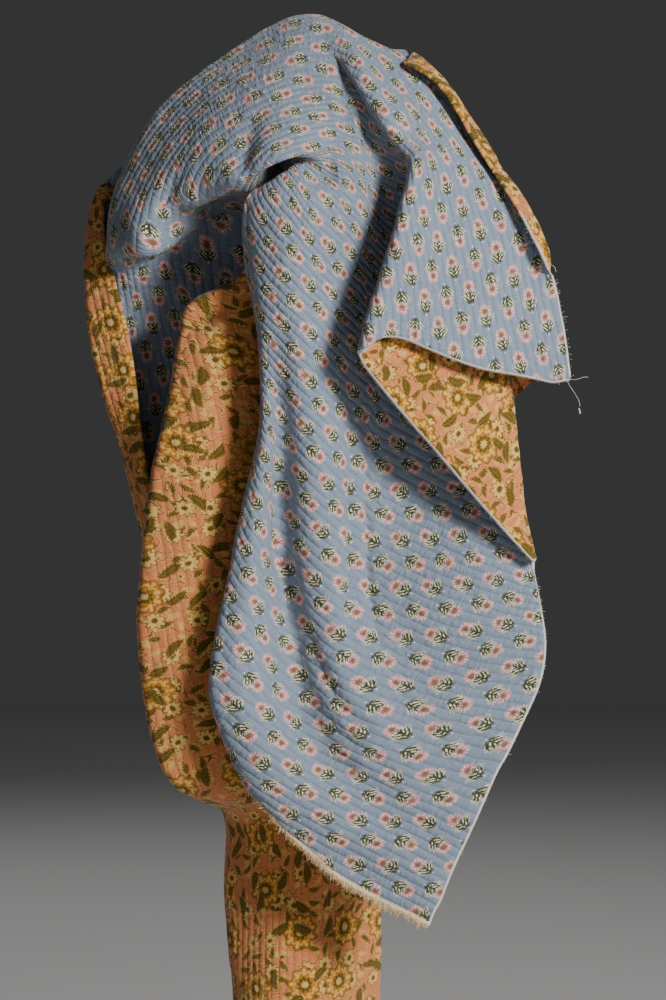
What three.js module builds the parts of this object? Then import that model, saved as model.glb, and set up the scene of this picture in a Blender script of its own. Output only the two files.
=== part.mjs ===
import * as THREE from "three";

// A quilted block-printed cloth, one rectangular length hung from a single point. Millimetres,
// +Z up, the viewer in front at -Y. The origin is the hang point, under the cloth at its peak.
// The cloth is one sheet: two layers of printed cotton with a thin wadding between them.
const THICKNESS = 3;

// A sheet can't keep its full thickness inside a bend tighter than itself, so the wadding is
// pressed there: half the thickness stays under this share of the bend's radius.
const PRESSED_SHARE = 0.55;
const PRESS_PASSES = 4;

// Every fold of the cloth runs its whole length. The length is counted in stations, from the free
// hem in front (0), up to the peak (10), over it into the hood (15 to 18), where the cloth turns
// under and falls again, down to the foot of the gathered column behind (26).
// spans says how many strips the sheet is built of between two stations.
const SPANS = [
  { from: 0, to: 9, strips: 9 },
  { from: 9, to: 12, strips: 8 },
  { from: 12, to: 15, strips: 4 },
  { from: 15, to: 19, strips: 9 },
  { from: 19, to: 22, strips: 3 },
  { from: 22, to: 24, strips: 4 },
  { from: 24, to: 26, strips: 2 },
];

// The folds in their order across the cloth, from one long edge to the other. round is the radius
// of the bend, apart the distance between the two layers of a flat fold (0 for an open bend), and
// steps the number of facets between this fold and the next. Each row has the columns along (the
// station), right, back and up (where the fold passes there).
const FOLDS = [
  {
    name: "rolledEdge", round: 0, apart: 0, steps: 1,
    rows: [
      [0, 205, -56, -294], [1, 200, -58, -259], [2, 192, -64, -220], [3, 181, -82, -196],
      [5, 159, -73, -153], [5.5, 152, -70, -142], [7, 132, -57, -109], [9, 99, -42, -55],
      [9.6, 75, -34, -40], [9.8, 73, -6, -33], [10, 64, 24, -42], [11, 21, 29, -52], [12, -12, 42, -53],
      [14, -83, 50, -97], [15, -134, 46, -134], [15.5, -160, 40, -141], [16, -169, 29, -143],
      [17, -171, 22, -162], [18, -170, 13, -178], [19, -162, 3, -210], [20, -149, 0, -264],
      [21, -135, 3, -366], [22, -107, 30, -489], [23, -41, 40, -637], [26, -33, 43, -873],
    ],
  },
  {
    name: "edgeTurn", round: 4, apart: 10, steps: 2,
    rows: [
      [0, 197, -58, -295], [1, 190, -61, -261], [2, 183, -66, -221], [3, 184, -72, -192],
      [5, 163, -62, -147], [6, 150, -54, -130], [7, 135, -40, -104], [9, 102, -27, -51],
      [9.6, 78, -13, -31], [10, 57, 6, -33], [11, 24, 27, -34], [12, -10, 40, -35], [13, -47, 48, -54],
      [14, -86, 48, -81], [15, -137, 45, -112], [16, -168, 42, -129], [17, -179, 38, -146],
      [19, -184, 19, -216], [20, -179, 16, -269], [21, -157, 21, -345], [22, -117, 40, -489],
      [23, -54, 50, -638], [26, -45, 53, -875],
    ],
  },
  {
    name: "side", round: 24, apart: 0, steps: 3,
    rows: [
      [0, 161, -74, -290], [1, 157, -75, -256], [2, 150, -77, -218], [3, 146, -75, -185],
      [5, 134, -62, -130], [6, 126, -54, -113], [8, 101, -37, -70], [9, 88, -27, -47],
      [9.6, 71, -14, -30], [10, 50, 3, -22], [11, 13, 21, -10], [12, -22, 30, -15], [13, -60, 38, -36],
      [14, -94, 38, -60], [15, -127, 37, -90], [16, -147, 38, -118], [17, -154, 27, -149],
      [17.6, -164, 24, -174], [18.2, -170, 19, -190], [19, -173, 16, -226], [20, -169, 19, -275],
      [21, -151, 27, -357], [22, -121, 46, -489], [23, -55, 64, -640], [26, -50, 67, -877],
    ],
  },
  {
    name: "flap", round: 48, apart: 0, steps: 3,
    rows: [
      [0, 125, -88, -285], [1, 121, -90, -249], [3, 116, -86, -176], [4, 112, -80, -146],
      [5, 107, -72, -121], [7, 90, -51, -81], [9, 71, -29, -43], [9.6, 61, -16, -28], [10, 41, -5, -14],
      [11, 3, 5, 7], [12, -34, 13, -1], [14, -105, 19, -48], [15, -134, 16, -76], [16, -156, 8, -119],
      [17, -167, 0, -158], [17.6, -167, -2, -184], [18.2, -166, 5, -196], [19, -164, 21, -230],
      [20, -159, 27, -279], [21, -146, 34, -369], [22, -119, 50, -489], [23, -56, 72, -640],
      [26, -49, 77, -879],
    ],
  },
  {
    name: "flapRoll", round: 27, apart: 0, steps: 2,
    rows: [
      [0, 58, -114, -257], [1, 72, -113, -234], [3, 85, -106, -170], [5, 89, -86, -121],
      [6, 81, -70, -101], [7, 72, -64, -82], [8, 61, -53, -64], [9, 48, -34, -42], [9.6, 35, -22, -23],
      [10, 17, -13, -5], [11, -6, -6, -3], [12, -36, 0, -15], [14, -101, 0, -63], [15, -126, -6, -95],
      [16, -142, -16, -132], [17, -151, -29, -168], [17.6, -152, -29, -189], [18.2, -152, -8, -199],
      [19, -149, 26, -230], [20, -142, 30, -279], [21, -125, 37, -369], [22, -101, 53, -489],
      [23, -46, 86, -642], [26, -43, 94, -882],
    ],
  },
  {
    name: "flapFold", round: 11, apart: 13, steps: 3,
    rows: [
      [0, 36, -118, -282], [1, 39, -118, -266], [3, 60, -110, -198], [4, 69, -102, -165],
      [5, 78, -90, -127], [6, 71, -80, -111], [7, 60, -80, -92], [8, 49, -70, -72], [9, 35, -53, -46],
      [9.6, 24, -34, -29], [10, 13, -22, -18], [11, -10, -19, -17], [13, -71, -21, -56],
      [14, -96, -26, -84], [16, -128, -40, -145], [17, -132, -46, -173], [17.6, -132, -40, -193],
      [18.2, -131, -5, -189], [19, -127, 29, -230], [20, -117, 34, -279], [21, -101, 40, -369],
      [22, -81, 56, -489], [23, -25, 66, -640], [26, -23, 70, -878],
    ],
  },
  {
    name: "lapel", round: 48, apart: 0, steps: 4,
    rows: [
      [0, 93, -85, -344], [1, 113, -78, -331], [3, 116, -70, -265], [4, 114, -67, -224],
      [5, 115, -64, -182], [6, 94, -59, -134], [7, 68, -72, -105], [8, 50, -64, -84], [9, 36, -53, -59],
      [9.6, 25, -38, -44], [10, 12, -34, -37], [11, -14, -35, -37], [12, -45, -40, -57],
      [14, -89, -51, -105], [16, -108, -53, -145], [16.6, -110, -45, -156], [17, -109, -22, -166],
      [17.6, -107, -6, -179], [18.2, -105, 14, -176], [19, -99, 30, -230], [20, -88, 35, -279],
      [21, -72, 43, -369], [22, -56, 59, -490], [23, -9, 94, -642], [26, -7, 101, -883],
    ],
  },
  {
    name: "rightFold", round: 6, apart: 11, steps: 4,
    rows: [
      [0, 178, -58, -445], [1, 171, -54, -415], [3, 162, -46, -336], [4, 158, -43, -288],
      [5, 151, -40, -238], [6, 114, -46, -170], [7, 73, -62, -124], [8, 48, -58, -99],
      [9, 37, -56, -77], [9.6, 26, -51, -70], [10, 15, -51, -62], [11, -16, -51, -59],
      [12, -44, -58, -78], [14, -76, -66, -119], [15, -84, -64, -135], [16, -87, -58, -146],
      [16.6, -88, -48, -153], [17, -88, -13, -151], [18.2, -81, 18, -158], [19, -72, 32, -230],
      [20, -60, 37, -279], [21, -42, 45, -369], [22, -25, 62, -490], [23, 10, 67, -640],
      [26, 13, 72, -878],
    ],
  },
  {
    name: "panelRight", round: 32, apart: 0, steps: 4,
    rows: [
      [0, 188, -64, -520], [1, 143, -61, -493], [2, 107, -54, -458], [3, 93, -42, -410],
      [5, 81, -27, -305], [6, 77, -26, -253], [7, 67, -45, -200], [8, 54, -64, -156],
      [9, 38, -75, -128], [10, 16, -77, -114], [11, -5, -99, -123], [12, -23, -107, -131],
      [14, -48, -96, -140], [15, -56, -85, -142], [16, -62, -66, -143], [16.6, -62, -38, -142],
      [17, -60, -10, -139], [17.6, -56, 8, -141], [18.2, -52, 18, -149], [19, -41, 32, -230],
      [20, -27, 38, -279], [21, -6, 46, -369], [22, 10, 62, -490], [23, 31, 91, -642],
      [26, 33, 98, -883],
    ],
  },
  {
    name: "trough", round: 19, apart: 10, steps: 3,
    rows: [
      [0, 150, -64, -598], [1, 94, -61, -558], [2, 64, -53, -509], [3, 48, -45, -462],
      [4, 46, -42, -414], [6, 47, -42, -310], [7, 45, -51, -258], [8, 38, -66, -208],
      [9, 26, -82, -163], [9.6, 19, -85, -146], [10, 12, -78, -135], [11, -4, -80, -119],
      [12, -17, -72, -110], [13, -23, -58, -110], [14, -22, -34, -117], [16, -8, 16, -145],
      [17, 15, 29, -178], [18.2, 49, 32, -250], [19, 66, 30, -332], [20, 74, 30, -423],
      [21, 74, 32, -489], [22, 66, 37, -571], [23, 59, 50, -642], [26, 53, 54, -875],
    ],
  },
  {
    name: "pipe", round: 48, apart: 0, steps: 2,
    rows: [
      [0, 127, -66, -648], [1, 69, -67, -605], [2, 32, -70, -560], [3, 19, -70, -509],
      [4, 12, -70, -461], [5, 5, -75, -406], [6, 1, -85, -343], [7, -5, -93, -280], [9, -15, -99, -175],
      [10, -18, -94, -144], [11, -20, -78, -131], [12, -12, -54, -151], [13, -8, -42, -194],
      [14, -5, -35, -242], [15, 3, -32, -270], [16, 11, -30, -310], [18.2, 16, -27, -430],
      [20, 13, -24, -535], [22, 5, -14, -624], [22.5, 5, -6, -635], [23, 5, 2, -646], [26, 5, 4, -866],
    ],
  },
  {
    name: "leftTrough", round: 19, apart: 0, steps: 2,
    rows: [
      [0, 114, -66, -675], [1, 53, -61, -630], [2, 8, -51, -587], [3, -9, -48, -538],
      [4, -16, -46, -492], [5, -22, -46, -438], [6, -24, -51, -374], [7, -27, -70, -311],
      [8, -34, -86, -248], [9, -37, -88, -194], [10, -37, -88, -153], [11, -30, -78, -139],
      [12, -21, -54, -156], [13, -22, -43, -200], [14, -37, -37, -244], [15, -35, -32, -270],
      [16, -34, -29, -310], [17, -35, -29, -362], [18.2, -38, -29, -430], [20, -40, -27, -535],
      [21, -38, -26, -587], [22, -35, -21, -625], [22.5, -34, -13, -636], [23, -30, -2, -646],
      [26, -28, 0, -865],
    ],
  },
  {
    name: "leftBulge", round: 32, apart: 0, steps: 2,
    rows: [
      [0, 106, -66, -694], [1, 37, -67, -653], [2, -12, -70, -614], [3, -42, -82, -575],
      [4, -51, -83, -532], [5, -48, -82, -469], [6, -40, -82, -398], [7, -36, -82, -331],
      [8, -42, -78, -264], [9, -47, -78, -202], [10, -48, -80, -157], [11, -39, -74, -144],
      [12, -28, -54, -161], [13, -40, -45, -206], [14, -68, -46, -241], [15, -71, -50, -270],
      [16, -75, -48, -310], [18.2, -86, -46, -430], [20, -88, -45, -534], [21, -80, -40, -582],
      [22, -72, -29, -621], [22.5, -64, -16, -632], [23, -50, 5, -646], [26, -47, 8, -867],
    ],
  },
  {
    name: "leftFold", round: 5, apart: 10, steps: 2,
    rows: [
      [0, 99, -64, -711], [2, -34, -64, -629], [3, -64, -69, -588], [4, -79, -70, -540],
      [5, -71, -69, -477], [6, -54, -67, -398], [7, -39, -67, -323], [8, -39, -62, -263],
      [9, -50, -64, -201], [10, -52, -74, -156], [11, -44, -71, -147], [12, -35, -53, -165],
      [13, -56, -43, -212], [14, -99, -35, -234], [15, -106, -32, -266], [16, -114, -32, -308],
      [17, -125, -34, -358], [18.2, -134, -35, -426], [19, -138, -35, -480], [20, -135, -34, -542],
      [21, -126, -30, -589], [22, -113, -24, -617], [22.5, -94, -5, -630], [23, -71, 27, -648],
      [24, -71, 32, -711], [25, -66, 34, -768], [26, -56, 35, -871],
    ],
  },
  {
    name: "frayedEdge", round: 0, apart: 0, steps: 0,
    rows: [
      [0, 92, -62, -727], [1, 19, -61, -688], [2, -39, -59, -631], [3, -55, -56, -608],
      [4, -55, -54, -549], [5, -46, -50, -478], [6, -35, -48, -398], [7, -24, -50, -322],
      [8, -17, -53, -263], [9, -24, -54, -201], [10, -40, -61, -163], [10.5, -47, -59, -161],
      [11, -50, -66, -155], [12, -43, -51, -172], [13, -52, -32, -220], [14, -78, -21, -248],
      [15, -84, -18, -273], [16, -92, -13, -313], [17, -103, -11, -362], [18.2, -111, -10, -426],
      [19, -113, -10, -483], [20, -108, -8, -544], [21, -99, -5, -589], [22, -86, 3, -611],
      [22.5, -70, 18, -625], [23, -67, 54, -649], [26, -52, 59, -876],
    ],
  },];
const COLUMNS = { along: 0, right: 1, back: 2, up: 3 };

const FIRST_STATION = SPANS[0].from;
const LAST_STATION = SPANS[SPANS.length - 1].to;
const OPEN_BEND_POINTS = 6; // points on each half of an open bend before it is shared out
const INNER_REACH = 0.5; // a bend takes at most this share of the cloth towards the next fold
const EDGE_REACH = 0.9; // and this share towards a free edge
const LOPSIDED = 2.5; // one side of a bend is at most this many times as long as the other
const NEARLY_STRAIGHT = 1e-6; // the least bend that counts, as one over a radius
const TANGENT_STEP = 0.05; // stations on each side of a point that give a fold's direction

// A smooth curve through a fold's rows, as a function of the station.
function foldLine(rows) {
  const stations = rows.map((row) => row[COLUMNS.along]);
  const points = rows.map(
    (row) => new THREE.Vector3(row[COLUMNS.right], row[COLUMNS.back], row[COLUMNS.up]),
  );
  const count = points.length;
  const spacing = [];
  const slopes = [];
  for (let i = 0; i < count - 1; i++) {
    const chord = points[i + 1].clone().sub(points[i]);
    spacing.push(Math.sqrt(chord.length()));
    slopes.push(chord.divideScalar(spacing[i]));
  }
  const tangents = points.map((_, i) => {
    if (i === 0) return slopes[0].clone();
    if (i === count - 1) return slopes[count - 2].clone();
    const before = slopes[i - 1].clone().multiplyScalar(spacing[i]);
    const after = slopes[i].clone().multiplyScalar(spacing[i - 1]);
    return before.add(after).divideScalar(spacing[i - 1] + spacing[i]);
  });
  return (station) => {
    const at = Math.min(Math.max(station, FIRST_STATION), LAST_STATION);
    let i = 0;
    while (i < count - 2 && stations[i + 1] <= at) i++;
    const u = (at - stations[i]) / (stations[i + 1] - stations[i]);
    const uu = u * u;
    const uuu = uu * u;
    return new THREE.Vector3()
      .addScaledVector(points[i], 2 * uuu - 3 * uu + 1)
      .addScaledVector(tangents[i], (uuu - 2 * uu + u) * spacing[i])
      .addScaledVector(points[i + 1], 3 * uu - 2 * uuu)
      .addScaledVector(tangents[i + 1], (uuu - uu) * spacing[i]);
  };
}

function towards(from, to, reach) {
  return from.clone().addScaledVector(to.clone().sub(from).normalize(), reach);
}

function bendPoint(start, corner, end, u) {
  return new THREE.Vector3()
    .addScaledVector(start, (1 - u) * (1 - u))
    .addScaledVector(corner, 2 * u * (1 - u))
    .addScaledVector(end, u * u);
}

// Points at equal distances along a path, without its first point.
function shareOut(path, steps) {
  const reached = [0];
  for (let i = 1; i < path.length; i++) {
    reached.push(reached[i - 1] + path[i].distanceTo(path[i - 1]));
  }
  const points = [];
  let i = 1;
  for (let k = 1; k <= steps; k++) {
    const goal = (reached[path.length - 1] * k) / steps;
    while (i < path.length - 1 && reached[i] < goal) i++;
    const stretch = reached[i] - reached[i - 1];
    const u = stretch > 0 ? (goal - reached[i - 1]) / stretch : 1;
    points.push(path[i - 1].clone().lerp(path[i], u));
  }
  return points;
}

// The direction from a fold's line to its neighbour, square to the line.
function sideways(corner, neighbour, direction) {
  const arm = neighbour.clone().sub(corner);
  return arm.addScaledVector(direction, -arm.dot(direction)).normalize();
}

// One cross-section of the sheet's middle layer: the folds' points with each corner rounded. A flat
// fold has two corners, half of apart to each side, so that its layers lie beside each other.
function crossSection(corners, directions) {
  const last = FOLDS.length - 1;
  const groups = corners.map((corner, i) => {
    if (FOLDS[i].apart === 0) return [corner];
    const spread = sideways(corner, corners[i - 1], directions[i])
      .sub(sideways(corner, corners[i + 1], directions[i]))
      .setLength(FOLDS[i].apart / 2);
    return [corner.clone().add(spread), corner.clone().sub(spread)];
  });
  const section = [corners[0]];
  let lead = [corners[0]];
  for (let i = 1; i < last; i++) {
    const [first, second] = [groups[i][0], groups[i][groups[i].length - 1]];
    const before = groups[i - 1][groups[i - 1].length - 1];
    const after = groups[i + 1][0];
    const roomBefore = first.distanceTo(before) * (i > 1 ? INNER_REACH : EDGE_REACH);
    const roomAfter = second.distanceTo(after) * (i < last - 1 ? INNER_REACH : EDGE_REACH);
    let reachBefore = Math.min(FOLDS[i].round, roomBefore);
    const reachAfter = Math.min(FOLDS[i].round, roomAfter, LOPSIDED * reachBefore);
    reachBefore = Math.min(reachBefore, LOPSIDED * reachAfter);
    const start = towards(first, before, reachBefore);
    const end = towards(second, after, reachAfter);
    const steps = FOLDS[i - 1].steps;
    if (groups[i].length === 2) {
      const middle = first.clone().lerp(second, 0.5);
      section.push(...shareOut([...lead, start], steps));
      section.push(bendPoint(start, first, middle, 0.5), middle);
      section.push(bendPoint(middle, second, end, 0.5), end);
      lead = [end];
    } else {
      const whole = [];
      for (let k = 0; k < 2 * OPEN_BEND_POINTS; k++) {
        whole.push(bendPoint(start, first, end, k / (2 * OPEN_BEND_POINTS - 1)));
      }
      const crown = bendPoint(start, first, end, 0.5);
      section.push(...shareOut([...lead, ...whole.slice(0, OPEN_BEND_POINTS), crown], steps));
      lead = [crown, ...whole.slice(OPEN_BEND_POINTS)];
    }
  }
  section.push(...shareOut([...lead, corners[last]], FOLDS[last - 1].steps));
  return section;
}

function stationsOf(spans) {
  const stations = [spans[0].from];
  for (const { from, to, strips } of spans) {
    for (let k = 1; k <= strips; k++) stations.push(from + ((to - from) * k) / strips);
  }
  return stations;
}

// The middle layer as a grid of points, a row for each station.
function middleLayer() {
  const lines = FOLDS.map((fold) => foldLine(fold.rows));
  return stationsOf(SPANS).map((station) => {
    const corners = lines.map((line) => line(station));
    const directions = lines.map((line) =>
      line(station + TANGENT_STEP).sub(line(station - TANGENT_STEP)).normalize(),
    );
    return crossSection(corners, directions);
  });
}

// How sharply a line of three points bends at its middle one, as one over a radius.
function sharpness(before, point, after) {
  const arrive = point.clone().sub(before);
  const leave = after.clone().sub(point);
  const reach = (arrive.length() + leave.length()) / 2;
  return arrive.normalize().distanceTo(leave.normalize()) / reach;
}

// Half of the sheet's thickness at every point of the grid, pressed where a bend is tight.
function halfThickness(grid) {
  const rows = grid.length;
  const columns = grid[0].length;
  let half = grid.map((row, i) =>
    row.map((point, j) => {
      let bend = 0;
      if (i > 0 && i < rows - 1) bend = sharpness(grid[i - 1][j], point, grid[i + 1][j]);
      if (j > 0 && j < columns - 1) bend = Math.max(bend, sharpness(row[j - 1], point, row[j + 1]));
      return Math.min(THICKNESS / 2, PRESSED_SHARE / Math.max(bend, NEARLY_STRAIGHT));
    }),
  );
  for (let pass = 0; pass < PRESS_PASSES; pass++) {
    half = half.map((row, i) =>
      row.map((value, j) => {
        const above = half[Math.max(i - 1, 0)][j];
        const below = half[Math.min(i + 1, rows - 1)][j];
        const left = row[Math.max(j - 1, 0)];
        const right = row[Math.min(j + 1, columns - 1)];
        return Math.min(value, (value + (above + below + left + right) / 4) / 2);
      }),
    );
  }
  return half;
}

// The direction square to the sheet at a grid point, out of its peach side.
function squareTo(grid, i, j) {
  const rows = grid.length;
  const columns = grid[0].length;
  const along = grid[Math.min(i + 1, rows - 1)][j].clone().sub(grid[Math.max(i - 1, 0)][j]);
  const across = grid[i][Math.min(j + 1, columns - 1)].clone().sub(grid[i][Math.max(j - 1, 0)]);
  return across.cross(along).normalize();
}

// The closed sheet: a peach face, a blue face and the cut edge all round.
function sheetGeometry() {
  const grid = middleLayer();
  const half = halfThickness(grid);
  const rows = grid.length;
  const columns = grid[0].length;
  const positions = [];
  for (const side of [1, -1]) {
    for (let i = 0; i < rows; i++) {
      for (let j = 0; j < columns; j++) {
        const out = squareTo(grid, i, j).multiplyScalar(side * half[i][j]);
        positions.push(...grid[i][j].clone().add(out).toArray());
      }
    }
  }
  const peach = (i, j) => i * columns + j;
  const blue = (i, j) => rows * columns + i * columns + j;
  const faces = [];
  const quad = (a, b, c, d) => faces.push(a, b, c, a, c, d);
  for (let i = 0; i < rows - 1; i++) {
    for (let j = 0; j < columns - 1; j++) {
      quad(peach(i, j), peach(i, j + 1), peach(i + 1, j + 1), peach(i + 1, j));
      quad(blue(i, j), blue(i + 1, j), blue(i + 1, j + 1), blue(i, j + 1));
    }
  }
  for (let j = 0; j < columns - 1; j++) {
    quad(peach(0, j + 1), peach(0, j), blue(0, j), blue(0, j + 1));
    quad(peach(rows - 1, j), peach(rows - 1, j + 1), blue(rows - 1, j + 1), blue(rows - 1, j));
  }
  for (let i = 0; i < rows - 1; i++) {
    quad(peach(i, 0), peach(i + 1, 0), blue(i + 1, 0), blue(i, 0));
    quad(peach(i + 1, columns - 1), peach(i, columns - 1), blue(i, columns - 1), blue(i + 1, columns - 1));
  }
  const geometry = new THREE.BufferGeometry();
  geometry.setAttribute("position", new THREE.Float32BufferAttribute(positions, 3));
  geometry.setIndex(faces);
  geometry.computeVertexNormals();
  return geometry;
}

const printedCotton = new THREE.MeshStandardMaterial({
  color: 0x7d93ab,
  roughness: 0.9,
  metalness: 0,
});

const cloth = new THREE.Mesh(sheetGeometry(), printedCotton);
cloth.name = "quilted_cloth";

const model = new THREE.Group();
model.add(cloth);

export default model;
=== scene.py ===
"""A quilted block-printed cloth hung from one point: the sheet on its folds, its two prints,
its cut and frayed edges, a pale floor, soft light and the camera."""
import math
import random

import bpy
import numpy as np
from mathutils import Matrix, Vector, noise


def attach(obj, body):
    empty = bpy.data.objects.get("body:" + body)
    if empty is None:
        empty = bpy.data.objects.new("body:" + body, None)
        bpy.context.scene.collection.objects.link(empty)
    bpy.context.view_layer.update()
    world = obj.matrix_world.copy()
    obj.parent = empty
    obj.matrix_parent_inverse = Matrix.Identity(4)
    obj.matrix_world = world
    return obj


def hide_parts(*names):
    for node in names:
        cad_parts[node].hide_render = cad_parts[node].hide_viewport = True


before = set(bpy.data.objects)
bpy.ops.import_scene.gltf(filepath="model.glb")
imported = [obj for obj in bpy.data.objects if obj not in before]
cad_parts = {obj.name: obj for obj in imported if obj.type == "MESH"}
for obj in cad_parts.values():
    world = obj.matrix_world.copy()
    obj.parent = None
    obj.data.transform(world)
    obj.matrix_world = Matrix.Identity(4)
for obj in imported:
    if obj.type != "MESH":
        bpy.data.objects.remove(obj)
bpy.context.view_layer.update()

MM = 0.001
CM = 10 * MM
TINY = 1e-12  # these are added to a divisor, or stand in for it, where it could be zero
TINY_LENGTH = 1e-9
TINY_SUM = 1e-30
SLIGHTEST_BEND = 1e-6
FINER = 4  # the sheet has this many strips for each facet of the solid's folds
THICKNESS = 3.0 * MM
PRESSED_SHARE = 0.55  # half the thickness stays under this share of a bend's radius
PRESS_PASSES = 12
LAST_STATION = 26
STATION_STEP = 0.5  # the coarse grid, which carries the layout of the print

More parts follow.
